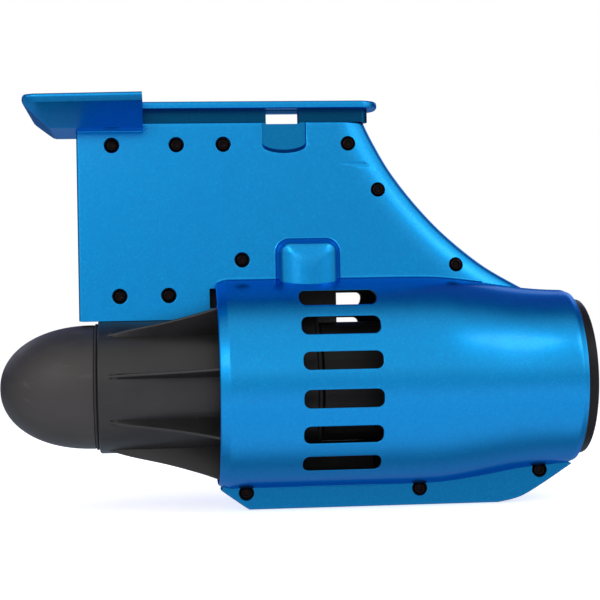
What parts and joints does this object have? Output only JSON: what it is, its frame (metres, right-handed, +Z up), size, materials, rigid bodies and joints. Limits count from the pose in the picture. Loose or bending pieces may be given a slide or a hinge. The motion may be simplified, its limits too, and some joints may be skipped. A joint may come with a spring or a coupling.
{
  "type": "underwater scooter fin",
  "caption": "Powered fin for a paddleboard: a ducted propeller and battery pod under a hollow fin with a T-shaped base rail and a wide front wedge.",
  "frame": {"origin": "centre of the base rail's flat top face, the face that bears on the board", "axes": "+X along the pod from the nose to the outlet, +Z up towards the board, -Y the port side, where the shell screws are"},
  "size_m": [0.3346, 0.12, 0.2327],
  "materials": {
    "blue_paint": "fine metallic blue paint over aluminium, satin gloss",
    "black_plastic": "moulded, fine grain",
    "nose_plastic": "moulded, matt",
    "rubber": "soft, matt",
    "black_steel": "black oxide",
    "aluminium": "machined",
    "dark_metal": "dark anodised",
    "copper": "enamelled copper winding",
    "circuit_board": "green solder mask",
    "cell_sleeve": "shrink sleeve over a steel can",
    "light_lens": "clear, diffusing"
  },
  "bodies": {
    "hull": {"base_rail": "blue_paint", "battery_board": "circuit_board", "battery_cable": "rubber", "button_spring": "black_steel", "capacitor": "dark_metal", "cell_1": "cell_sleeve", "cell_2": "cell_sleeve", "cell_3": "cell_sleeve", "cell_4": "cell_sleeve", "cell_5": "cell_sleeve", "cell_6": "cell_sleeve", "cell_holder_front": "black_plastic", "cell_holder_rear": "black_plastic", "charge_socket": "black_plastic", "controller_board": "circuit_board", "front_bearing": "aluminium", "front_wedge": "blue_paint", "heat_sink": "aluminium", "led_lens": "light_lens", "motor_cable": "rubber", "motor_case": "dark_metal", "motor_mount": "aluminium", "motor_stator": "copper", "nozzle_ring": "black_plastic", "pod_housing": "black_plastic", "port_shell": "blue_paint", "rear_bearing": "aluminium", "shaft_seal": "rubber", "shell_screw_01": "black_steel", "shell_screw_02": "black_steel", "shell_screw_03": "black_steel", "shell_screw_04": "black_steel", "shell_screw_05": "black_steel", "shell_screw_06": "black_steel", "shell_screw_07": "black_steel", "shell_screw_08": "black_steel", "shell_screw_09": "black_steel", "shell_screw_10": "black_steel", "shell_screw_11": "black_steel", "shell_screw_12": "black_steel", "starboard_shell": "blue_paint", "stator_vanes": "black_plastic", "terminal_block": "black_plastic", "wedge_screw_1": "black_steel", "wedge_screw_2": "black_steel", "wedge_screw_3": "black_steel", "wedge_screw_4": "black_steel"},
    "drive": {"motor_rotor": "dark_metal", "drive_shaft": "aluminium", "propeller": "black_plastic", "tail_cone": "black_plastic"},
    "nose_thread": {"nose_seal": "rubber"},
    "nose": {"nose_cap": "nose_plastic"},
    "button": {"power_button": "black_plastic"},
    "flap": {"charge_flap": "rubber"}
  },
  "joints": [
    {"name": "propeller_spin", "type": "hinge", "parent": "hull", "child": "drive", "pos_m": [0.1, 0, -0.161], "axis": [1, 0, 0], "continuous": true},
    {"name": "nose_travel", "type": "slide", "parent": "hull", "child": "nose_thread", "axis": [-1, 0, 0], "range_m": [0, 0.012]},
    {"name": "nose_turn", "type": "hinge", "parent": "nose_thread", "child": "nose", "pos_m": [-0.08, 0, -0.161], "axis": [-1, 0, 0], "range_deg": [0, 1080]},
    {"name": "button_press", "type": "slide", "parent": "hull", "child": "button", "axis": [0, -1, 0], "range_m": [0, 0.001], "stiffness_N_per_m": 600, "springref_m": -0.0008},
    {"name": "flap_hinge", "type": "hinge", "parent": "hull", "child": "flap", "pos_m": [0.046, 0.0104, -0.063], "axis": [-1, 0, 0], "range_deg": [0, 120], "stiffness_Nm_per_rad": 0.004, "springref_deg": -17.19}
  ],
  "couplings": [
    {"joint": "nose_turn", "follows": "nose_travel", "rad_per_m": 1570.8}
  ]
}
